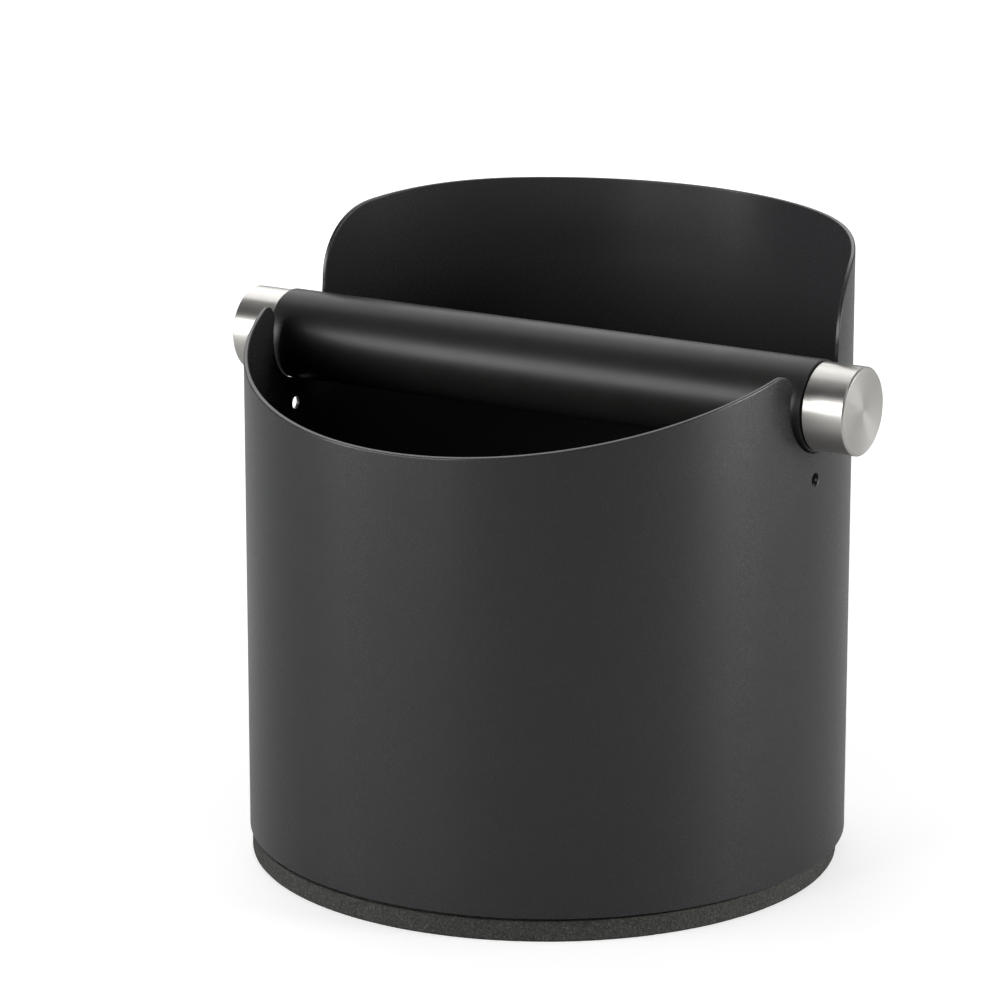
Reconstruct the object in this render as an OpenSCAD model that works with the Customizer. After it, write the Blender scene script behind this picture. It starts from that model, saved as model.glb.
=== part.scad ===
// Espresso knock box: an open round can with a cut-down front, standing on a foam pad, and a
// rubber-covered bar that rests in two notches across the mouth. Used coffee pucks are knocked
// off on the bar and drop into the can. All sizes are in millimetres.
// Origin: the centre of the pad's underside. +X runs along the bar, +Y points to the tall back,
// and +Z points up.

/* [Can] */
// Outside diameter of the can
can_d = 150; // [140:1:160]
// Height of the tall back above the table
back_top_z = 156.5; // [152:0.5:170]
// Thickness of the sheet that the can is made of, with its coating
sheet_t = 1.1; // [0.8:0.1:1.5]
// Height of the front rim at its lowest point
front_low_z = 118.2; // [112:0.1:121]
// Slope of the front rim, rising towards the bar, in degrees
front_slope = 14.5; // [12:0.1:16]
// Radius of the front rim's rounded corner beside each notch
ear_r = 4.5; // [2:0.1:6]
// Radius of the tight first arc of the back's shoulder, next to the notch
shoulder_tight_r = 19; // [12:0.5:22]
// Radius of the wide second arc of the back's shoulder
shoulder_wide_r = 200; // [120:5:220]
// Angle that the tight arc turns through before the wide arc takes over
shoulder_turn = 80.5; // [78:0.5:84]
// Radius of a notch's round seat, which is a little wider than its neck
seat_r = 12.6; // [12:0.1:14]
// Diameter of the small hole through the wall under each notch
small_hole_d = 3.2; // [2:0.1:4]
// Height of the small holes
small_hole_z = 105.3; // [98:0.1:107]
// How far the small holes sit behind the bar's axis; below 0 is in front of it
small_hole_y = -1.2; // [-3:0.1:3]

/* [Floor] */
// Height of the floor pan's upturned flange
floor_flange_h = 8; // [5:0.5:12]
// Outside radius of the bend between the floor and its flange
floor_bend_r = 2.5; // [2:0.5:4]

/* [Base pad] */
// Diameter of the foam pad
pad_d = 149; // [130:0.5:149.5]
// Thickness of the foam pad
pad_t = 6.3; // [4:0.1:7]
// Diameter of the adhesive film between the pad and the floor
film_d = 140; // [120:1:142]
// Thickness of the adhesive film
film_t = 0.2; // [0.1:0.05:0.3]

/* [Knock bar] */
// Height of the bar's axis
bar_z = 123.3; // [121:0.1:125]
// Outside diameter of the rubber sleeve
sleeve_d = 22.5; // [20:0.1:24]
// Length of the rubber sleeve
sleeve_len = 151; // [151:0.2:160]
// Outside diameter of the steel core tube
core_d = 18; // [16:0.5:19]
// Wall thickness of the core tube
core_wall = 1.5; // [1:0.1:2]
// Gap at each end between the core tube and the end washer
core_end_gap = 0.3; // [0.1:0.1:1]
// Radial clearance between the core tube and the pieces that turn around and inside it
turn_gap = 0.05; // [0.02:0.01:0.08]
// Gap between the sleeve and each side of a notch's neck
neck_gap = 0.45; // [0.2:0.05:0.6]
// Gap between the sleeve and the bottom of a notch's seat
rest_gap = 0.05; // [0.02:0.01:0.1]

/* [Bar ends] */
// Diameter of an end cap
cap_d = 21.6; // [20.6:0.1:22]
// Length of an end cap
cap_len = 11; // [8:0.1:14]
// Width of the bevel around an end cap's outer and inner edges
cap_bevel = 0.4; // [0.3:0.1:0.8]
// Depth of the shallow dish turned into an end cap's outer face
cap_dish = 0.1; // [0.1:0.05:0.5]
// Diameter of the thin washer between an end cap and the sleeve
washer_d = 20.4; // [19:0.1:20.6]
// Thickness of the washer
washer_t = 0.3; // [0.2:0.1:1]
// Length of the threaded plug inside each end of the core tube
plug_len = 14; // [10:1:25]
// Diameter of the threaded stud that joins a cap to its plug
stud_d = 6; // [4:1:8]
// How far the stud reaches into the cap
stud_in_cap = 6; // [4:0.5:6.5]

/* [Hidden] */
$fn = 180;

can_r = can_d / 2;
can_bottom_z = pad_t + film_t;
// Small gap at the welded seat of the floor pan, and at the studs' threads
seat_gap = 0.05;
// Extra length that carries a cutting shape past the surface it cuts
past = 1;

neck_y = sleeve_d / 2 + neck_gap;
seat_c_z = bar_z - sleeve_d / 2 - rest_gap + seat_r;

// Centre of the ear's corner arc, which touches the slanted rim and the notch's side
ear_c_y = -neck_y - ear_r;
ear_c_z = front_low_z + (ear_c_y + can_r) * tan(front_slope) - ear_r / cos(front_slope);

// Centres of the shoulder's two arcs: vertical at the notch, level at the top, smooth between
tight_c_y = neck_y + shoulder_tight_r;
tight_c_z = back_top_z - shoulder_wide_r
    + (shoulder_wide_r - shoulder_tight_r) * sin(shoulder_turn);
wide_c_y = tight_c_y + (shoulder_wide_r - shoulder_tight_r) * cos(shoulder_turn);
wide_c_z = back_top_z - shoulder_wide_r;
// Point where the two arcs meet
join_y = tight_c_y - shoulder_tight_r * cos(shoulder_turn);
join_z = tight_c_z + shoulder_tight_r * sin(shoulder_turn);

sleeve_end_x = sleeve_len / 2;
core_end_x = sleeve_end_x - core_end_gap;
cap_in_x = sleeve_end_x + washer_t;
plug_in_x = core_end_x - plug_len;
plug_r = core_d / 2 - core_wall - turn_gap;
stud_hole_r = stud_d / 2 + seat_gap;
// Slack left at both ends of a stud
stud_end_gap = 0.5;

// Turns a shape drawn along +Z, from its centre outwards, to lie on the bar's axis.
// side is 1 for the right end and -1 for the left end.
module on_bar(side) {
    translate([0, 0, bar_z]) rotate([0, side * 90, 0]) children();
}

// A ring or a tube standing on the XY plane
module ring(outer_r, inner_r, h) {
    difference() {
        cylinder(r = outer_r, h = h);
        translate([0, 0, -past]) cylinder(r = inner_r, h = h + 2 * past);
    }
}

// Side view of the front half of the wall: the slanted rim, ending in the rounded ear
module front_outline() {
    polygon([
        [-can_r - past, can_bottom_z],
        [-neck_y, can_bottom_z],
        [-neck_y, ear_c_z],
        [ear_c_y, ear_c_z],
        [ear_c_y - ear_r * sin(front_slope), ear_c_z + ear_r * cos(front_slope)],
        [-can_r - past, front_low_z - past * tan(front_slope)]
    ]);
    translate([ear_c_y, ear_c_z]) circle(r = ear_r);
}

// Side view of the back half of the wall: the tall back, and its shoulder of two arcs
module back_outline() {
    polygon([
        [neck_y, can_bottom_z],
        [can_r + past, can_bottom_z],
        [can_r + past, back_top_z],
        [wide_c_y, back_top_z],
        [join_y, join_z],
        [tight_c_y, tight_c_z],
        [neck_y, tight_c_z]
    ]);
    translate([tight_c_y, tight_c_z]) circle(r = shoulder_tight_r);
    intersection() {
        translate([wide_c_y, wide_c_z]) circle(r = shoulder_wide_r);
        translate([join_y, join_z]) square([wide_c_y - join_y, back_top_z - join_z]);
    }
}

// Side view of the strip under the notch's neck
module strip_outline() {
    translate([-neck_y - past, can_bottom_z])
        square([2 * (neck_y + past), seat_c_z - can_bottom_z]);
}

// A round cutter right across the can, along X
module cross_cut(r, y, z) {
    translate([0, y, z])
    rotate([0, 90, 0])
        cylinder(r = r, h = can_d + 2 * past, center = true);
}

// The rolled sheet wall. One side view, cut straight across, shapes both sides of the rim.
module can_wall() {
    color("#3d3d40")
    difference() {
        intersection() {
            translate([0, 0, can_bottom_z])
                ring(can_r, can_r - sheet_t, back_top_z - can_bottom_z);
            rotate([90, 0, 90])
            linear_extrude(can_d + 2 * past, center = true) {
                front_outline();
                strip_outline();
                back_outline();
            }
        }
        cross_cut(seat_r, 0, seat_c_z);
        cross_cut(small_hole_d / 2, small_hole_y, small_hole_z);
    }
}

// The pressed floor pan, with its flange turned up against the inside of the wall
module can_floor() {
    pan_r = can_r - sheet_t - seat_gap;
    bend_in_r = floor_bend_r - sheet_t;
    color("#3d3d40")
    translate([0, 0, can_bottom_z])
    rotate_extrude() {
        square([pan_r - floor_bend_r, sheet_t]);
        translate([pan_r - sheet_t, floor_bend_r])
            square([sheet_t, floor_flange_h - floor_bend_r]);
        translate([pan_r - floor_bend_r, floor_bend_r])
        intersection() {
            difference() {
                circle(r = floor_bend_r);
                circle(r = bend_in_r);
            }
            translate([0, -floor_bend_r]) square(floor_bend_r);
        }
    }
}

// The foam pad that the can stands on
module base_pad() {
    color("#262626") cylinder(d = pad_d, h = pad_t);
}

// The adhesive film that holds the pad under the floor
module pad_film() {
    color("#c9c4b4")
    translate([0, 0, pad_t])
        cylinder(d = film_d, h = film_t);
}

// The steel tube inside the sleeve
module bar_core_tube() {
    color("silver")
    translate([0, 0, bar_z])
    rotate([0, 90, 0])
    translate([0, 0, -core_end_x])
        ring(core_d / 2, core_d / 2 - core_wall, 2 * core_end_x);
}

// The rubber sleeve that the portafilter is knocked on
module bar_sleeve() {
    color("#2c2b2a")
    translate([0, 0, bar_z])
    rotate([0, 90, 0])
    translate([0, 0, -sleeve_end_x])
        ring(sleeve_d / 2, core_d / 2 + turn_gap, sleeve_len);
}

// A tapped plug in the end of the core tube
module end_plug(side) {
    color("darkgoldenrod")
    on_bar(side)
    translate([0, 0, plug_in_x])
        ring(plug_r, stud_hole_r, plug_len);
}

// A threaded stud, drawn at its outside diameter
module cap_stud(side) {
    stud_in_x = plug_in_x + stud_end_gap;
    stud_out_x = cap_in_x + stud_in_cap;
    color("gray")
    on_bar(side)
    translate([0, 0, stud_in_x])
        cylinder(d = stud_d, h = stud_out_x - stud_in_x);
}

// The thin dark washer between the sleeve's end and the cap
module cap_washer(side) {
    color("#1c1b1a")
    on_bar(side)
    translate([0, 0, sleeve_end_x])
        ring(washer_d / 2, stud_hole_r, washer_t);
}

// A turned steel end cap, with bevelled edges and a shallow dished face, tapped from behind
module end_cap(side) {
    cap_r = cap_d / 2;
    face_r = cap_r - cap_bevel;
    color("#c9c6c1")
    on_bar(side)
    translate([0, 0, cap_in_x])
    difference() {
        rotate_extrude()
        polygon([
            [0, 0],
            [face_r, 0],
            [cap_r, cap_bevel],
            [cap_r, cap_len - cap_bevel],
            [face_r, cap_len],
            [0, cap_len - cap_dish]
        ]);
        translate([0, 0, -past])
            cylinder(r = stud_hole_r, h = past + stud_in_cap + stud_end_gap);
    }
}

can_wall();
can_floor();
base_pad();
pad_film();
bar_core_tube();
bar_sleeve();
end_plug(-1);  // end_plug_left
end_plug(1);  // end_plug_right
cap_stud(-1);  // cap_stud_left
cap_stud(1);  // cap_stud_right
cap_washer(-1);  // cap_washer_left
cap_washer(1);  // cap_washer_right
end_cap(-1);  // end_cap_left
end_cap(1);  // end_cap_right
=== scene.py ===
"""Espresso knock box: the visual model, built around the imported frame.

The can's wall, its floor pan, the foam pad, the rubber sleeve, the washers and the end caps are
rebuilt as fine meshes with rounded edges. The pieces hidden inside stay as the frame's own nodes.
Lengths are in metres, angles in degrees. +X runs along the bar, +Y to the tall back, +Z up.
"""

import math

import bpy
import numpy as np
from mathutils import Matrix, Vector, noise
from mathutils.geometry import delaunay_2d_cdt


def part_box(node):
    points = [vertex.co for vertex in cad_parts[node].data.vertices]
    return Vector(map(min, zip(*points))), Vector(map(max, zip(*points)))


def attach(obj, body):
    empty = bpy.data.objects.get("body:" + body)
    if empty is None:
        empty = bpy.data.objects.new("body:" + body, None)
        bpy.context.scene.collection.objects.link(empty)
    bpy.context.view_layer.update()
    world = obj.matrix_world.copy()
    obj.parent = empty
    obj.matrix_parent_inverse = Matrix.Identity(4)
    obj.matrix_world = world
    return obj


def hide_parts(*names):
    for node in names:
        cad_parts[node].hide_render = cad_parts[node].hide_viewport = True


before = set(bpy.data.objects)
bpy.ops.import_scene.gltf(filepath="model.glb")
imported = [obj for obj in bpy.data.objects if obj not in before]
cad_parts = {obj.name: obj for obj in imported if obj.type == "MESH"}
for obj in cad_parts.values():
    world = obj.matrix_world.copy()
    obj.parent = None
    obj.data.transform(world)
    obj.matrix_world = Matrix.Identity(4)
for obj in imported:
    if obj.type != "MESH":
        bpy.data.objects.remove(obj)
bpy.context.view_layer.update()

MM = 0.001
# Points nearer to each other than this count as one
SAME_PLACE = 0.02 * MM
# Running clearance between the parts of the bar
CLEARANCE = 0.05 * MM

# Camera, with azimuths measured from the front, positive to the right
VIEW_AZIMUTH = 30.44
VIEW_ELEVATION = 19.275
VIEW_DISTANCE = 1.1912
AIM_HEIGHT = 0.0895
AIM_LEFT = 0.0119
LENS = 168.7
# Light added to the floor for the camera alone: this much near the object, 1 away from it
FLOOR_LIFT = 0.62
# Every light stands this far from the point that it is aimed at, which is at this height
LIGHT_DISTANCE = 1.4
LIGHT_AIM = 0.1


def polar(azimuth, elevation, distance):
    """The point at this azimuth and elevation from the origin."""
    a = math.radians(azimuth)
    e = math.radians(elevation)
    return distance * Vector((math.sin(a) * math.cos(e), -math.cos(a) * math.cos(e), math.sin(e)))


# ---------------------------------------------------------------- meshes


def add_mesh(name, points, faces, normals, origin=(0, 0, 0)):
    """A smooth mesh object with one given normal per vertex. The points are relative to origin."""
    mesh = bpy.data.meshes.new(name)
    mesh.from_pydata([tuple(p) for p in points], [], faces)
    mesh.polygons.foreach_set("use_smooth", [True] * len(mesh.polygons))
    mesh.normals_split_custom_set_from_vertices([tuple(n) for n in normals])
    piece = bpy.data.objects.new(name, mesh)
    piece.location = origin
    bpy.context.scene.collection.objects.link(piece)
    return piece


def round_outline(corners, closed, steps=5):
    """Rounds the corners of an outline of (along, radius, fillet) rows, drawn with the material on
    its left. Gives rows of (along, radius, normal along, normal radius)."""
    rows = []
    count = len(corners)
    for i, (x, y, fillet) in enumerate(corners):
        here = np.array((x, y), float)
        at_end = not closed and i in (0, count - 1)
        before = np.array(corners[i - 1][:2], float)
        after = np.array(corners[(i + 1) % count][:2], float)
        into = here - before
        out = after - here
        if at_end:
            way = out if i == 0 else into
            way = way / np.linalg.norm(way)
            rows.append((x, y, way[1], -way[0]))
            continue
        into /= np.linalg.norm(into)
        out /= np.linalg.norm(out)
        cross = into[0] * out[1] - into[1] * out[0]
        turn = math.atan2(cross, into @ out)
        start = here - into * fillet * math.tan(abs(turn) / 2)
        side = math.copysign(1, turn)
        centre = start + side * fillet * np.array((-into[1], into[0]))
        for k in range(steps + 1):
            a = turn * k / steps
            way = np.array(
                (
                    into[0] * math.cos(a) - into[1] * math.sin(a),
                    into[0] * math.sin(a) + into[1] * math.cos(a),
                )
            )
            normal = np.array((way[1], -way[0]))
            point = centre + side * fillet * normal
            rows.append((*point, *normal))
    return rows


def split_long(rows, longest):
    """Adds rows along the straight stretches, so that no step is longer than this."""
    result = []
    for a, b in zip(rows, rows[1:] + rows[:1]):
        a = np.array(a)
        b = np.array(b)
        result.append(tuple(a))
        count = math.ceil(np.linalg.norm((b - a)[:2]) / longest)
        if np.allclose(a[2:], b[2:], atol=1e-6):
            result += [tuple(a + (b - a) * k / count) for k in range(1, count)]
    return result


def revolve(name, rows, segments, axis=Matrix.Identity(3), origin=(0, 0, 0), closed=True):
    """Spins rows of (along, radius, normal along, normal radius) about the axis that the matrix
    turns +Z into. An open outline starts and ends on the axis."""
    points, normals, faces, rings = [], [], [], []
    for along, radius, n_along, n_radius in rows:
        if radius < 1e-9:
            rings.append([len(points)])
            points.append(axis @ Vector((0, 0, along)))
            normals.append(axis @ Vector((0, 0, math.copysign(1, n_along))))
            continue
        rings.append(list(range(len(points), len(points) + segments)))
        for k in range(segments):
            a = 2 * math.pi * k / segments
            c, s = math.cos(a), math.sin(a)
            points.append(axis @ Vector((radius * c, radius * s, along)))
            normals.append(axis @ Vector((n_radius * c, n_radius * s, n_along)))
    pairs = list(zip(rings, rings[1:]))
    if closed:
        pairs.append((rings[-1], rings[0]))
    for low, high in pairs:
        for k in range(segments):
            j = (k + 1) % segments
            if len(low) == 1:
                faces.append((low[0], high[k], high[j]))
            elif len(high) == 1:
                faces.append((low[j], low[k], high[0]))
            else:
                faces.append((low[k], high[k], high[j], low[j]))
    return add_mesh(name, points, faces, normals, origin)


# ---------------------------------------------------------------- the can's wall

EDGE_ROUND = 0.34 * MM
EDGE_STEPS = 4
RIM_STEP = 0.55 * MM
GRID_STEP = 4 * MM
# Triangles thinner than this are left out of the fill
SLIVER = 2e-7


def wall_radii():
    """Outer and inner radius of the CAD wall."""
    co = np.array([v.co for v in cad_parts["can_wall"].data.vertices])
    radius = np.hypot(co[:, 0], co[:, 1])
    return radius.max(), radius.min()


def wall_loops(radius):
    """The edges of the CAD wall's surface at this radius, as closed chains of 3-D points. Seen from
    the surface's open side, the sheet is on the left of each chain."""
    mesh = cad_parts["can_wall"].data
    co = np.array([v.co for v in mesh.vertices])
    near = np.abs(np.hypot(co[:, 0], co[:, 1]) - radius) < SAME_PLACE
    key = [tuple(np.round(p * 1e6).astype(int)) for p in co]
    least_facing = 0.95
    follow = {}
    for face in mesh.polygons:
        ids = list(face.vertices)
        across = Vector((face.center.x, face.center.y, 0)).normalized()
        if not all(near[i] for i in ids) or abs(face.normal.dot(across)) < least_facing:
            continue
        for a, b in zip(ids, ids[1:] + ids[:1]):
            if key[a] != key[b]:
                follow[(key[a], key[b])] = co[b]
    step = {a: (b, p) for (a, b), p in follow.items() if (b, a) not in follow}
    loops = []
    while step:
        start, (at, point) = step.popitem()
        chain = [point]
        while at != start:
            at, point = step.pop(at)
            chain.append(point)
        loops.append(np.array(chain))
    return loops


def smooth_loop(chain, spacing):
    """Evenly spaced points on a smooth curve through a closed chain of points."""
    far = chain[np.linalg.norm(chain - np.roll(chain, 1, axis=0), axis=1) > SAME_PLACE]
    after = np.roll(far, -1, axis=0)
    length = np.linalg.norm(after - far, axis=1)
    before_length = np.roll(length, 1)
    slope_in = (far - np.roll(far, 1, axis=0)) / before_length[:, None]
    slope_out = (after - far) / length[:, None]
    share = (before_length / (before_length + length))[:, None]
    slope = slope_in * (1 - share) + slope_out * share
    places = np.concatenate([[0], np.cumsum(length)])
    fewest = 24
    count = max(fewest, round(places[-1] / spacing))
    at = np.arange(count) * places[-1] / count
    i = np.clip(np.searchsorted(places, at, side="right") - 1, 0, len(far) - 1)
    j = (i + 1) % len(far)
    step = length[i][:, None]
    t = ((at - places[i]) / length[i])[:, None]
    return (
        (2 * t**3 - 3 * t**2 + 1) * far[i]
        + (t**3 - 2 * t**2 + t) * step * slope[i]
        + (3 * t**2 - 2 * t**3) * far[j]
        + (t**3 - t**2) * step * slope[j]
    )


def on_radius(points, radius):
    """Moves points straight out or in to this radius."""
    result = points.copy()
    result[:, :2] *= (radius / np.hypot(points[:, 0], points[:, 1]))[:, None]
    return result


def sorted_loops(radius, rim_step, hole_step):
    """The wall's loops at this radius, made smooth: rim, foot, left hole, right hole. The first two
    start at the back centre."""
    chains = wall_loops(radius)
    wide = sorted((c for c in chains if np.ptp(c[:, 0]) > radius), key=lambda c: -c[:, 2].max())
    small = sorted((c for c in chains if np.ptp(c[:, 0]) < radius), key=lambda c: c[0, 0])
    loops = [smooth_loop(wide[0], rim_step), smooth_loop(wide[1], 2 * rim_step)]
    for k, loop in enumerate(loops):
        back = np.hypot(loop[:, 0], loop[:, 1] - radius).argmin()
        loops[k] = np.roll(loop, -int(back), axis=0)
        loops[k][0, 0] = 0
    loops += [smooth_loop(c, hole_step) for c in small]
    return [on_radius(loop, radius) for loop in loops]


def nearest_on(loop, points):
    """The nearest points on a closed loop."""
    result = []
    after = np.roll(loop, -1, axis=0)
    run = after - loop
    for p in points:
        t = np.clip(((p - loop) * run).sum(1) / (run * run).sum(1), 0, 1)
        near = loop + run * t[:, None]
        result.append(near[np.linalg.norm(near - p, axis=1).argmin()])
    return np.array(result)


def unit(rows):
    """Each row scaled to length 1."""
    return rows / np.linalg.norm(rows, axis=1)[:, None]


def edge_rows(outer, inner):
    """Rows of points and normals that carry the sheet's cut edge from its outer surface to its
    inner one, with both corners rounded. The sheet is on the outer loop's left."""
    along = unit(np.roll(outer, -1, axis=0) - np.roll(outer, 1, axis=0))
    across = unit(inner - outer)
    away = unit(np.cross(along, unit(outer * (1, 1, 0))))
    rows = []
    for corner, back, side in ((outer, across, 1), (inner, -across, -1)):
        radius = np.hypot(corner[0, 0], corner[0, 1])
        flat = on_radius(corner - away * EDGE_ROUND, radius)
        cut = corner + back * EDGE_ROUND
        part = []
        for k in range(EDGE_STEPS + 1):
            t = k / EDGE_STEPS
            point = (1 - t) ** 2 * flat + 2 * t * (1 - t) * corner + t * t * cut
            way = unit((1 - t) * (corner - flat) + t * (cut - corner))
            part.append((point, unit(np.cross(way, along)) * side))
        rows += part if side > 0 else part[::-1]
    return rows


def inside(points, loops):
    """Which 2-D points lie inside the closed loops, holes left out."""
    result = np.zeros(len(points), bool)
    for loop in loops:
        after = np.roll(loop, -1, axis=0)
        for (x0, y0), (x1, y1) in zip(loop, after):
            if y0 == y1:
                continue
            hit = (points[:, 1] > min(y0, y1)) & (points[:, 1] <= max(y0, y1))
            cut = x0 + (points[:, 1] - y0) * (x1 - x0) / (y1 - y0)
            result ^= hit & (points[:, 0] < cut)
    return result


def unroll(points, radius, start):
    """Points on a cylinder as (arc length, height), from this starting angle on."""
    angle = np.unwrap(np.arctan2(points[:, 1], points[:, 0]))
    angle += 2 * math.pi * round((start - angle[0]) / (2 * math.pi))
    return np.stack([angle * radius, points[:, 2]], 1)


def fill_grid(corner, width, top, shapes, border):
    """Staggered points inside the shapes, kept clear of the border's points."""
    grid = []
    for row in range(1, math.ceil((top - corner[1]) / GRID_STEP)):
        shift = GRID_STEP / 2 * (row % 2)
        for k in range(round(width / GRID_STEP)):
            grid.append(corner + (shift + k * GRID_STEP, row * GRID_STEP))
    grid = np.array(grid)
    grid = grid[inside(grid, shapes)]
    gaps = np.array([((border - g) ** 2).sum(1).min() for g in grid])
    clear = 0.4 * GRID_STEP
    return grid[gaps > clear**2]


def fill_sheet(radius, loops):
    """Fills one face of the rolled sheet with triangles, unrolled flat and cut at the back centre.
    Gives the unrolled points, with the loops' own points first, and the triangles."""
    back = math.pi / 2
    width = np.array((2 * math.pi * radius, 0))
    starts = [back + 2 * math.pi, back, back + math.pi, back + math.pi]
    flat = [unroll(loop, radius, start) for loop, start in zip(loops, starts)]
    rim, foot = flat[:2]
    first = np.cumsum([0] + [len(f) for f in flat])
    top = rim[0] - width
    rise = top - foot[0]
    seam_count = round(rise[1] / GRID_STEP)
    seam = np.array([foot[0] + rise * k / seam_count for k in range(1, seam_count)])
    kept = np.concatenate([*flat, seam])
    # The cut's other side: the same points once more, put back on the first ones at the end
    copies = np.concatenate([[top], [foot[0] + width], seam + width])
    twins = [0, first[1], *range(first[4], len(kept))]
    n = len(kept)
    edges = []
    for k, last in enumerate((n, n + 1, first[2], first[3])):
        ids = list(range(first[k], first[k + 1]))
        edges += zip(ids, ids[1:] + [last])
    left = [first[1], *range(first[4], n), n]
    right = [n + 1, *range(n + 2, n + len(copies)), 0]
    edges += list(zip(left, left[1:])) + list(zip(right, right[1:]))
    outline = np.concatenate([foot, copies[1:], rim, [top]])
    shapes = [outline, *flat[2:]]
    border = np.concatenate([kept, copies])
    grid = fill_grid(foot[0], width[0], rim[:, 1].max(), shapes, border)
    everything = np.concatenate([border, grid])
    made = delaunay_2d_cdt([Vector(p) for p in everything], edges, [], 0, 1e-9, True)
    source = [old[0] for old in made[3]]
    triangles = np.array([[source[i] for i in f] for f in made[2]])
    a, b, c = (everything[triangles[:, k]] for k in range(3))
    area = np.abs((b - a)[:, 0] * (c - a)[:, 1] - (b - a)[:, 1] * (c - a)[:, 0])
    solid = area > SLIVER * np.linalg.norm(c - a, axis=1)
    triangles = triangles[inside((a + b + c) / 3, shapes) & solid]
    renumber = [*range(n), *twins, *range(n, n + len(grid))]
    return np.concatenate([kept, grid]), [[renumber[i] for i in f] for f in triangles]


def make_wall():
    """The rolled sheet wall, with rounded cut edges and a smooth round surface."""
    out_r, in_r = wall_radii()
    outer = sorted_loops(out_r, RIM_STEP, 0.25 * MM)
    fine_inner = sorted_loops(in_r, RIM_STEP / 2, 0.1 * MM)
    inner = [on_radius(nearest_on(b, a), in_r) for a, b in zip(outer, fine_inner)]
    for loop in inner[:2]:
        loop[0] = (0, in_r, loop[0, 2])
    strips = [edge_rows(a, b) for a, b in zip(outer, inner)]
    points, normals, faces, sheet_starts = [], [], [], []

    def count():
        return sum(len(p) for p in points)

    for end, radius, side in ((0, out_r, 1), (-1, in_r, -1)):
        flat, triangles = fill_sheet(radius, [rows[end][0] for rows in strips])
        angle = flat[:, 0] / radius
        base = count()
        sheet_starts.append(base)
        across = np.stack([np.cos(angle), np.sin(angle), 0 * angle], 1)
        points.append(across * radius + np.stack([0 * angle, 0 * angle, flat[:, 1]], 1))
        normals.append(across * side)
        faces += [[base + i for i in t[::side]] for t in triangles]
    sheet_size = count()
    start = 0
    for rows in strips:
        size = len(rows[0][0])
        rings = [range(sheet_starts[0] + start, sheet_starts[0] + start + size)]
        for point, normal in rows[1:-1]:
            rings.append(range(count(), count() + size))
            points.append(point)
            normals.append(normal)
        rings.append(range(sheet_starts[1] + start, sheet_starts[1] + start + size))
        for low, high in zip(rings, rings[1:]):
            for i in range(size):
                j = (i + 1) % size
                faces.append((low[j], low[i], high[i], high[j]))
        start += size
    wall = add_mesh("can_wall_skin", np.concatenate(points), faces, np.concatenate(normals))
    # Marks the cut-edge strips, where the powder coat paints a highlight.
    cut_edge = wall.data.attributes.new("cut_edge", "FLOAT", "POINT")
    cut_edge.data.foreach_set("value", [float(i >= sheet_size) for i in range(count())])
    return wall


# ---------------------------------------------------------------- the other pieces


def make_floor_pan():
    """The pressed floor pan, with its flange turned up inside the wall."""
    low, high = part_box("can_floor")
    outer = high.x
    bottom = low.z
    top = high.z
    sheet = np.subtract(*wall_radii())
    bend = 2.5 * MM
    lip = 0.3 * MM
    rows = round_outline(
        [
            (bottom + sheet, 0, 0),
            (bottom + sheet, outer - sheet, bend - sheet),
            (top, outer - sheet, lip),
            (top, outer, lip),
            (bottom, outer, bend),
            (bottom, 0, 0),
        ],
        closed=False,
    )
    return revolve("can_floor_pan", rows, 256, closed=False)


def split_side(rows, from_radius, step):
    """Adds rows on the outline's stretches beyond this radius, so that no step is longer."""
    result = []
    for a, b in zip(rows, rows[1:]):
        result.append(a)
        long = math.hypot(b[0] - a[0], b[1] - a[1])
        if min(a[1], b[1]) < from_radius or long <= step:
            continue
        count = math.ceil(long / step)
        for k in range(1, count):
            t = k / count
            result.append(tuple(u + (v - u) * t for u, v in zip(a, b)))
    return result + [rows[-1]]


def foam_wave(place):
    """How far the foam's cut side waves in at this place."""
    length = 9 * MM
    depth = 0.05 * MM
    return (noise.noise(place / length) + 1) * depth


def foam_pore(place):
    """Depth of the open pore at this place, or 0. A few cells of the foam have none."""
    cell_scale = 1 / (1.1 * MM)
    closed_cells = 0.15
    pore_reach = 0.42
    slope = 0.55 * MM
    if noise.cell(place * cell_scale) <= closed_cells:
        return 0.0
    near = noise.voronoi(place * cell_scale)[0][0]
    return max(0.0, pore_reach - near) * slope


def make_pad():
    """The foam pad, with an open-pored side and a narrow shadow gap under the can's edge. It sits
    a little off centre, towards the left."""
    low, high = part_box("base_pad")
    radius = high.x
    edge = 1.0 * MM
    groove_in = radius - 1.6 * MM
    groove_low = high.z - 0.9 * MM
    groove_round = 0.1 * MM
    rows = round_outline(
        [
            (high.z, 0, 0),
            (high.z, groove_in, groove_round),
            (groove_low, groove_in, groove_round),
            (groove_low, radius, 0.3 * MM),
            (0, radius, edge),
            (0, 0, 0),
        ],
        closed=False,
        steps=6,
    )
    side_step = 0.35 * MM
    rows = split_side(rows, radius - edge, side_step)
    pad = revolve("foam_pad", rows, 1200, closed=False)
    inset_way = polar(VIEW_AZIMUTH + 75, 0, 1)
    deepest_inset = 1.5 * MM
    for vertex in pad.data.vertices:
        p = vertex.co
        out = Vector((p.x, p.y, 0))
        if out.length < groove_in - 0.2 * MM:
            continue
        out.normalize()
        inset = deepest_inset * (1 + out.dot(inset_way)) / 2
        vertex.co = p - out * (foam_pore(p) + foam_wave(p) + inset)
    return pad


def bar_axis(side):
    """Turns +Z to point out of the bar's end: side is 1 on the right and -1 on the left."""
    return Matrix.Rotation(side * math.pi / 2, 3, "Y")


def bar_centre():
    """The middle of the bar."""
    low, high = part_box("bar_sleeve")
    return Vector((0, 0, (low.z + high.z) / 2))


def bore_radius(name):
    """Radius of the hole for the stud on this side."""
    low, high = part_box("cap_stud_" + name)
    return (high.z - low.z) / 2 + CLEARANCE


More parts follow.
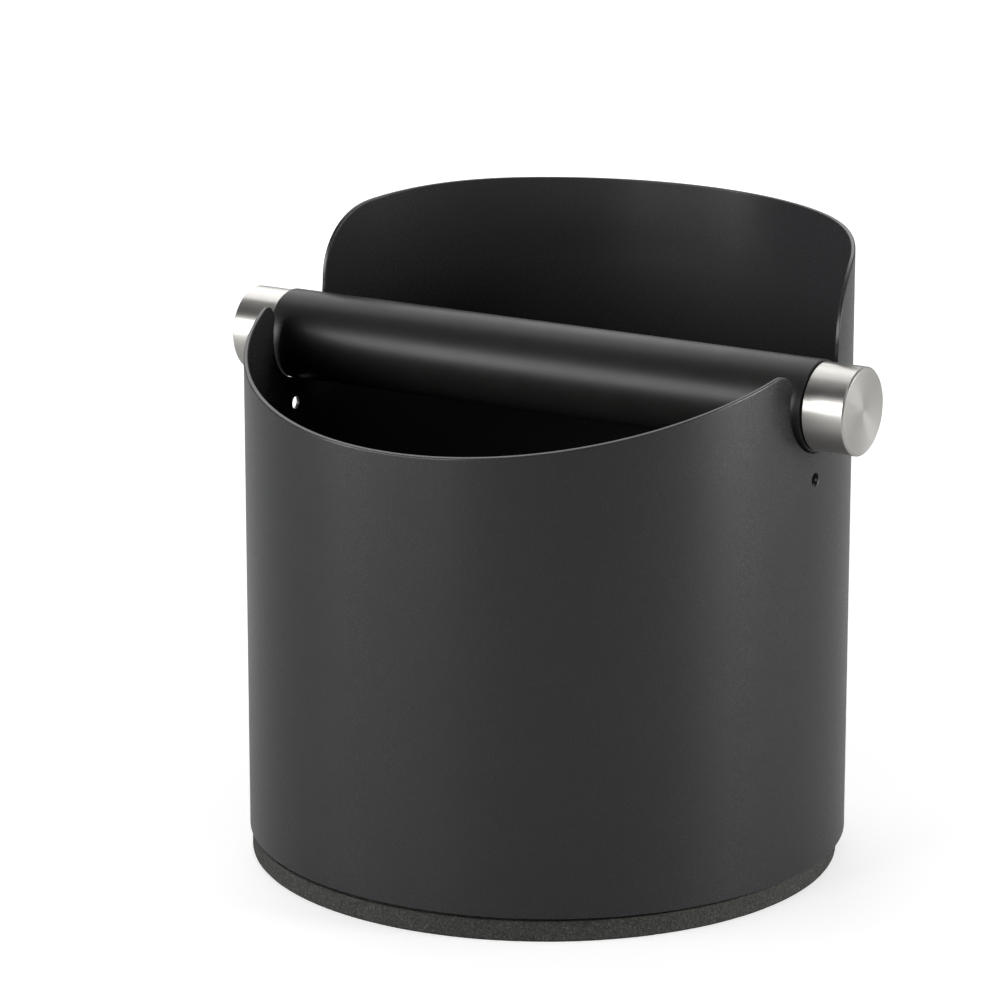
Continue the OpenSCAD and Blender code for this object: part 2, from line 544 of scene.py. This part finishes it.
def reach(node):
    """How far out along the bar a node starts and ends."""
    low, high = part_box(node)
    return sorted((abs(low.x), abs(high.x)))


def make_sleeve():
    """The rubber sleeve, a plain tube with softly rounded ends."""
    low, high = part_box("bar_sleeve")
    outer = (high.z - low.z) / 2
    core_low, core_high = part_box("bar_core_tube")
    inner = (core_high.z - core_low.z) / 2 + CLEARANCE
    end = high.x
    lip = 0.15 * MM
    corners = [(-end, inner, lip), (end, inner, lip), (end, outer, lip), (-end, outer, lip)]
    rows = split_long(round_outline(corners, closed=True), 8 * MM)
    return revolve("bar_sleeve_rubber", rows, 160, bar_axis(1), bar_centre())


def make_washer(side, name):
    """The thin black washer behind an end cap."""
    node = "cap_washer_" + name
    low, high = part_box(node)
    outer = (high.z - low.z) / 2
    near, far = reach(node)
    bore = bore_radius(name)
    lip = 0.06 * MM
    corners = [(near, bore, lip), (far, bore, lip), (far, outer, lip), (near, outer, lip)]
    rows = round_outline(corners, closed=True, steps=3)
    return revolve(node + "_ring", rows, 96, bar_axis(side), bar_centre())


def make_cap(side, name):
    """A turned end cap: bevelled at both ends, with a nearly flat face and a tiny centre mark."""
    node = "end_cap_" + name
    low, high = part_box(node)
    outer = (high.z - low.z) / 2
    near, far = reach(node)
    bore = bore_radius(name)
    bore_end = reach("cap_stud_" + name)[1] + 0.5 * MM
    bevel = 0.4 * MM
    dish = 0.08 * MM
    face = outer - bevel
    tiny = 0.1 * MM
    mark = 0.3 * MM
    corners = [
        (bore_end, 0, 0),
        (bore_end, bore, tiny),
        (near, bore, tiny),
        (near, outer - bevel / 2, tiny / 2),
        (near + bevel / 2, outer, tiny / 2),
        (far - bevel, outer, 2 * tiny),
        (far, face, 2 * tiny),
        (far - dish, mark, tiny),
        (far - dish - mark, 0, 0),
    ]
    rows = round_outline(corners[::-1], closed=False, steps=3)
    return revolve(node + "_turned", rows, 160, bar_axis(side), bar_centre(), closed=False)


# ---------------------------------------------------------------- materials


class Shader:
    """Short calls that build one material's node tree."""

    def __init__(self, name):
        self.material = bpy.data.materials.new(name)
        self.material.use_nodes = True
        self.tree = self.material.node_tree
        self.surface = self.tree.nodes["Principled BSDF"]
        self.coords = self.tree.nodes.new("ShaderNodeTexCoord").outputs["Object"]

    def node(self, kind, **values):
        """A new node with these properties."""
        made = self.tree.nodes.new(kind)
        for name, value in values.items():
            setattr(made, name, value)
        return made

    def put(self, value, socket):
        """Links an output to a socket, or sets the socket's plain value."""
        if isinstance(value, bpy.types.NodeSocket):
            self.tree.links.new(value, socket)
        else:
            socket.default_value = value

    def stretch(self, scale):
        """The object's coordinates times these three numbers."""
        made = self.node("ShaderNodeMapping")
        self.put(self.coords, made.inputs["Vector"])
        made.inputs["Scale"].default_value = scale
        return made.outputs["Vector"]

    def noise(self, size, detail=2.0, rough=0.5, coords=None):
        """Cloudy noise between 0 and 1, with lumps of about this size in metres."""
        made = self.node("ShaderNodeTexNoise")
        self.put(coords or self.coords, made.inputs["Vector"])
        made.inputs["Scale"].default_value = 1 / size
        made.inputs["Detail"].default_value = detail
        made.inputs["Roughness"].default_value = rough
        return made.outputs["Fac"]

    def cells(self, size):
        """Voronoi cells of about this size in metres."""
        made = self.node("ShaderNodeTexVoronoi")
        self.put(self.coords, made.inputs["Vector"])
        made.inputs["Scale"].default_value = 1 / size
        return made.outputs

    def remap(self, value, low, high, to_low=0.0, to_high=1.0):
        """Carries the range low to high over to another one, and clamps to it."""
        made = self.node("ShaderNodeMapRange")
        for socket, item in zip(made.inputs, (value, low, high, to_low, to_high)):
            self.put(item, socket)
        return made.outputs["Result"]

    def math(self, operation, a, b=0.0):
        """One arithmetic step on one or two values."""
        made = self.node("ShaderNodeMath", operation=operation)
        self.put(a, made.inputs[0])
        self.put(b, made.inputs[1])
        return made.outputs[0]

    def mix(self, share, a, b):
        """Blends two colours."""
        made = self.node("ShaderNodeMix", data_type="RGBA")
        self.put(share, made.inputs["Factor"])
        for value, socket in ((a, made.inputs[6]), (b, made.inputs[7])):
            self.put((*value, 1.0) if isinstance(value, tuple) else value, socket)
        return made.outputs[2]

    def bump(self, height, depth, under=None):
        """Bumps of this depth in metres."""
        made = self.node("ShaderNodeBump")
        made.inputs["Distance"].default_value = depth
        self.put(height, made.inputs["Height"])
        if under is not None:
            self.put(under, made.inputs["Normal"])
        return made.outputs["Normal"]

    def axis_distance(self, across):
        """Distance from an axis of the object. The two numbers are the axes square to it."""
        parts = self.node("ShaderNodeSeparateXYZ")
        self.put(self.coords, parts.inputs[0])
        squares = [self.math("POWER", parts.outputs[i], 2.0) for i in across]
        return self.math("SQRT", self.math("ADD", *squares))

    def finish(self, **inputs):
        """Sets the surface's inputs by name and gives the material."""
        for name, value in inputs.items():
            socket = self.surface.inputs[name.replace("_", " ")]
            self.put((*value, 1.0) if isinstance(value, tuple) else value, socket)
        return self.material


def powder_coat():
    """Matte charcoal powder coat with a very fine leathery texture. The cut edges carry a painted
    highlight, and inside the can it is painted a little paler, as painted fill light, and is duller."""
    s = Shader("powder_coat")
    cloud = s.noise(14 * MM, 3.0)
    grain = s.noise(0.35 * MM, 3.0, 0.6)
    peel = s.noise(0.9 * MM, 1.0)
    base = s.mix(cloud, (0.0148, 0.0151, 0.0165), (0.0172, 0.0176, 0.0191))
    base = s.mix(s.remap(grain, 0.35, 0.75, 0.0, 0.25), base, (0.0245, 0.025, 0.0268))
    out_r, in_r = wall_radii()
    outer_side = out_r - 0.6 * MM
    inner_side = in_r + 0.2 * MM
    # Inside the can the coat is painted a little paler, as painted fill light on the dark interior;
    # the same mask lowers its specular level.
    inner = s.remap(s.axis_distance((0, 1)), outer_side, inner_side)
    base = s.mix(inner, base, s.mix(grain, (0.026, 0.0265, 0.028), (0.031, 0.0315, 0.033)))
    # Painted highlight: the cut edges are painted a paler grey, broken up by noise.
    edge = s.node("ShaderNodeAttribute", attribute_name="cut_edge").outputs["Fac"]
    painted_edge_highlight = s.math("MULTIPLY", edge, s.remap(s.noise(4 * MM, 3.0), 0.35, 0.7, 0.1, 0.6))
    base = s.mix(painted_edge_highlight, base, (0.040, 0.040, 0.041))
    rough = s.math("ADD", s.remap(grain, 0.2, 0.8, 0.22, 0.28), s.math("MULTIPLY", cloud, 0.03))
    normal = s.bump(peel, 0.012 * MM)
    normal = s.bump(grain, 0.007 * MM, normal)
    shine = s.remap(inner, 0.0, 1.0, 0.5, 0.27)
    return s.finish(Base_Color=base, Roughness=rough, Normal=normal, Specular_IOR_Level=shine)


def eva_foam():
    """Closed-cell foam, cut so that its cells show as fine pits and pale specks."""
    s = Shader("eva_foam")
    cells = s.cells(0.55 * MM)
    specks = s.noise(0.5 * MM, 2.0, 0.6)
    dark_spots = s.remap(s.noise(1.3 * MM, 2.0), 0.55, 0.75, 0.0, 0.6)
    # The pits at the cells' centres are painted darker, as painted shade in the pits.
    base = s.mix(s.remap(cells["Distance"], 0.1, 0.6), (0.020, 0.020, 0.018), (0.046, 0.046, 0.042))
    base = s.mix(s.remap(specks, 0.55, 0.72), base, (0.105, 0.104, 0.095))
    base = s.mix(dark_spots, base, (0.012, 0.012, 0.011))
    normal = s.bump(cells["Distance"], 0.15 * MM)
    return s.finish(Base_Color=base, Roughness=0.88, Normal=normal, Specular_IOR_Level=0.3)


def sleeve_rubber():
    """Satin black rubber with a faint mottled bloom and fine moulding texture."""
    s = Shader("sleeve_rubber")
    cloud = s.noise(9 * MM, 4.0, 0.6)
    fine = s.noise(0.25 * MM, 2.0)
    lines = s.noise(0.5 * MM, 2.0, 0.5, s.stretch((0.02, 1.0, 1.0)))
    base = s.mix(cloud, (0.0120, 0.0117, 0.0112), (0.0170, 0.0166, 0.0160))
    rough = s.math("ADD", s.remap(cloud, 0.3, 0.7, 0.33, 0.38), s.remap(fine, 0.3, 0.7, 0.0, 0.04))
    normal = s.bump(lines, 0.004 * MM)
    normal = s.bump(fine, 0.006 * MM, normal)
    return s.finish(Base_Color=base, Roughness=rough, Normal=normal, Specular_IOR_Level=0.35)


def turned_rings(s, size):
    """Noise in rings round the bar's axis: lines round the side, circles on the end face."""
    parts = s.node("ShaderNodeSeparateXYZ")
    s.put(s.coords, parts.inputs[0])
    join = s.node("ShaderNodeCombineXYZ")
    s.put(parts.outputs[0], join.inputs[0])
    s.put(s.axis_distance((1, 2)), join.inputs[1])
    return s.noise(size, 3.0, 0.65, join.outputs[0])


def cap_steel():
    """Turned stainless steel: fine rings, brushed round the axis, with a few faint smudges."""
    s = Shader("cap_steel")
    rings = turned_rings(s, 0.12 * MM)
    smudge = s.noise(5 * MM, 3.0)
    base = s.mix(rings, (0.61, 0.59, 0.56), (0.71, 0.695, 0.665))
    rough = s.math("ADD", s.remap(rings, 0.3, 0.7, 0.28, 0.33), s.remap(smudge, 0.4, 0.7, 0.0, 0.03))
    normal = s.bump(rings, 0.0012 * MM)
    tangent = s.node("ShaderNodeTangent", direction_type="RADIAL", axis="X")
    return s.finish(
        Base_Color=base,
        Roughness=rough,
        Metallic=1.0,
        Normal=normal,
        Anisotropic=0.6,
        Anisotropic_Rotation=0.25,
        Tangent=tangent.outputs[0],
    )


def plain_steel():
    """Drawn steel, for the tube and the studs inside the bar."""
    s = Shader("core_steel")
    streaks = s.noise(0.4 * MM, 3.0, 0.6, s.stretch((0.03, 1.0, 1.0)))
    base = s.mix(streaks, (0.44, 0.44, 0.43), (0.60, 0.60, 0.59))
    rough = s.remap(streaks, 0.3, 0.7, 0.28, 0.42)
    return s.finish(
        Base_Color=base, Roughness=rough, Metallic=1.0, Normal=s.bump(streaks, 0.004 * MM)
    )


def plug_brass():
    """Turned brass, a little tarnished."""
    s = Shader("plug_brass")
    rings = turned_rings(s, 0.15 * MM)
    tarnish = s.noise(3 * MM, 4.0)
    base = s.mix(rings, (0.56, 0.40, 0.16), (0.68, 0.50, 0.24))
    base = s.mix(s.remap(tarnish, 0.5, 0.75, 0.0, 0.5), base, (0.25, 0.17, 0.08))
    rough = s.remap(tarnish, 0.3, 0.7, 0.25, 0.42)
    return s.finish(
        Base_Color=base, Roughness=rough, Metallic=1.0, Normal=s.bump(rings, 0.003 * MM)
    )


def washer_black():
    """Matte black fibre washer."""
    s = Shader("washer_black")
    fibres = s.noise(0.3 * MM, 3.0)
    base = s.mix(fibres, (0.018, 0.013, 0.010), (0.034, 0.026, 0.021))
    rough = s.remap(fibres, 0.3, 0.7, 0.5, 0.7)
    return s.finish(Base_Color=base, Roughness=rough, Normal=s.bump(fibres, 0.01 * MM))


def adhesive_film():
    """Yellowish double-sided film, hidden between the pad and the floor pan."""
    s = Shader("adhesive_film")
    cloud = s.noise(6 * MM, 3.0)
    base = s.mix(cloud, (0.50, 0.46, 0.36), (0.60, 0.57, 0.48))
    rough = s.remap(cloud, 0.3, 0.7, 0.35, 0.5)
    return s.finish(Base_Color=base, Roughness=rough, Normal=s.bump(cloud, 0.02 * MM))


# ---------------------------------------------------------------- putting it together


def add_pieces():
    """Builds each visible piece, puts it on its body and gives each one its material."""
    coat, rubber, steel, black = powder_coat(), sleeve_rubber(), cap_steel(), washer_black()
    made = [
        (make_wall(), "can", ["can_wall"], "powder_coat", coat),
        (make_floor_pan(), "can", ["can_floor"], "powder_coat", coat),
        (make_pad(), "can", ["base_pad"], "eva_foam", eva_foam()),
        (make_sleeve(), "bar", ["bar_sleeve"], "sleeve_rubber", rubber),
    ]
    for side, name in ((1, "right"), (-1, "left")):
        washer = make_washer(side, name)
        made.append((washer, "bar", ["cap_washer_" + name], "washer_black", black))
        made.append((make_cap(side, name), "bar", ["end_cap_" + name], "cap_steel", steel))
    for piece, body, nodes, slot, material in made:
        piece.data.materials.append(material)
        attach(piece, body)
        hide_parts(*nodes)


def finish_hidden_nodes():
    """Gives the frame's own nodes their looks: they stay inside the bar and under the can."""
    inner_steel, brass = plain_steel(), plug_brass()
    looks = {
        "pad_film": adhesive_film(),
        "bar_core_tube": inner_steel,
        "cap_stud_left": inner_steel,
        "cap_stud_right": inner_steel,
        "end_plug_left": brass,
        "end_plug_right": brass,
    }
    for name, material in looks.items():
        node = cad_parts[name]
        node.data.materials.clear()
        node.data.materials.append(material)


def add_floor():
    """A plain pale floor, which is not part of the object."""
    size = 6.0
    mesh = bpy.data.meshes.new("floor")
    corners = [(-size, -size, 0), (size, -size, 0), (size, size, 0), (-size, size, 0)]
    mesh.from_pydata(corners, [], [(0, 1, 2, 3)])
    floor = bpy.data.objects.new("floor", mesh)
    bpy.context.scene.collection.objects.link(floor)
    s = Shader("pale_floor")
    base = s.mix(s.noise(0.4, 2.0), (0.56, 0.56, 0.56), (0.60, 0.60, 0.60))
    seen = s.node("ShaderNodeLightPath").outputs["Is Camera Ray"]
    away = s.node("ShaderNodeVectorMath", operation="LENGTH")
    s.put(s.coords, away.inputs[0])
    lift_starts = 0.25
    lift_ends = 1.0
    lift = s.remap(away.outputs["Value"], lift_starts, lift_ends, FLOOR_LIFT, 1.0)
    s.put(s.math("MULTIPLY", seen, lift), s.surface.inputs["Emission Strength"])
    white = (1.0, 1.0, 1.0)
    floor.data.materials.append(s.finish(Base_Color=base, Roughness=0.7, Emission_Color=white))


def add_soft_box(name, azimuth, elevation, width, height, power):
    """A rectangular light. Its azimuth is measured from the camera's, positive to the right."""
    data = bpy.data.lights.new(name, "AREA")
    data.shape = "RECTANGLE"
    data.size = width
    data.size_y = height
    data.energy = power
    light = bpy.data.objects.new(name, data)
    aim = Vector((0, 0, LIGHT_AIM))
    away = polar(VIEW_AZIMUTH + azimuth, elevation, LIGHT_DISTANCE)
    light.location = aim + away
    light.rotation_mode = "QUATERNION"
    light.rotation_quaternion = away.to_track_quat("Z", "Y")
    light.visible_camera = False
    bpy.context.scene.collection.objects.link(light)
    return light


def add_world():
    """White behind everything for the camera. As a light it is dark on the camera's side and
    dim on the far side."""
    world = bpy.data.worlds.new("studio")
    bpy.context.scene.world = world
    world.use_nodes = True
    tree = world.node_tree
    shade = tree.nodes["Background"]
    seen = tree.nodes.new("ShaderNodeBackground")
    seen.inputs["Color"].default_value = (1, 1, 1, 1)
    seen.inputs["Strength"].default_value = 1.0
    shade.inputs["Color"].default_value = (1, 1, 1, 1)
    coords = tree.nodes.new("ShaderNodeTexCoord")
    away = tree.nodes.new("ShaderNodeVectorMath")
    away.operation = "DOT_PRODUCT"
    away.inputs[1].default_value = polar(VIEW_AZIMUTH, 0, 1)
    tree.links.new(coords.outputs["Generated"], away.inputs[0])
    share = tree.nodes.new("ShaderNodeMapRange")
    share.interpolation_type = "SMOOTHSTEP"
    ramp = {"From Min": 0.55, "From Max": -0.65, "To Min": 0.0, "To Max": 0.26}
    for key, value in ramp.items():
        share.inputs[key].default_value = value
    tree.links.new(away.outputs["Value"], share.inputs["Value"])
    tree.links.new(share.outputs["Result"], shade.inputs["Strength"])
    path = tree.nodes.new("ShaderNodeLightPath")
    mix = tree.nodes.new("ShaderNodeMixShader")
    tree.links.new(path.outputs["Is Camera Ray"], mix.inputs[0])
    tree.links.new(shade.outputs[0], mix.inputs[1])
    tree.links.new(seen.outputs[0], mix.inputs[2])
    tree.links.new(mix.outputs[0], tree.nodes["World Output"].inputs[0])


def link_to_caps(light, state):
    """EXCLUDE keeps a light off the end caps. INCLUDE makes it shine on them alone."""
    group = bpy.data.collections.new(light.name + "_caps")
    for side in ("left", "right"):
        group.objects.link(bpy.data.objects["end_cap_" + side + "_turned"])
    for member in group.collection_objects:
        member.light_linking.link_state = state
    light.light_linking.receiver_collection = group


def add_lights():
    """Tall soft boxes to the left and right, and large ones above and behind. The strong right
    boxes would show in the flat end faces as plain white, so dimmer ones light the caps."""
    add_soft_box("left_front_box", -41, 12, 0.36, 0.56, 5.6)
    add_soft_box("left_box", -61, 12, 0.36, 0.58, 4.6)
    add_soft_box("left_side_box", -79, 9, 0.35, 0.60, 7.0)
    add_soft_box("left_upper_box", -55, 28, 0.90, 0.30, 0.6)
    link_to_caps(add_soft_box("right_box", 71, 9, 0.46, 0.60, 15.5), "EXCLUDE")
    link_to_caps(add_soft_box("right_side_box", 96, 9, 0.40, 0.60, 3.9), "EXCLUDE")
    link_to_caps(add_soft_box("cap_front_box", 62, 15, 0.60, 0.80, 1.6), "INCLUDE")
    link_to_caps(add_soft_box("cap_side_box", 97, 9, 0.40, 0.60, 3.8), "INCLUDE")
    link_to_caps(add_soft_box("cap_back_box", 120, 12, 0.80, 0.80, 1.1), "INCLUDE")
    add_soft_box("back_box", -170, 27, 0.90, 0.50, 2.0)
    add_soft_box("back_top_box", -158, 50, 0.90, 0.80, 3.1)
    add_soft_box("front_top_box", 10, 60, 0.80, 0.80, 1.5)
    add_soft_box("top_box", 0, 84, 1.00, 1.00, 2.2)


def add_camera():
    """The camera at the reference viewing angle."""
    data = bpy.data.cameras.new("camera")
    data.lens = LENS
    camera = bpy.data.objects.new("camera", data)
    bpy.context.scene.collection.objects.link(camera)
    right = polar(VIEW_AZIMUTH + 90, 0, 1)
    aim = Vector((0, 0, AIM_HEIGHT)) - right * AIM_LEFT
    camera.location = polar(VIEW_AZIMUTH, VIEW_ELEVATION, VIEW_DISTANCE)
    camera.rotation_mode = "QUATERNION"
    camera.rotation_quaternion = (camera.location - aim).to_track_quat("Z", "Y")
    bpy.context.scene.camera = camera


def set_tone():
    """Plain tone mapping, so that colours come out as the materials state them."""
    view = bpy.context.scene.view_settings
    view.view_transform = "Standard"
    view.look = "None"
    view.exposure = 0
    view.gamma = 1


add_pieces()
finish_hidden_nodes()
add_floor()
add_world()
add_lights()
add_camera()
set_tone()
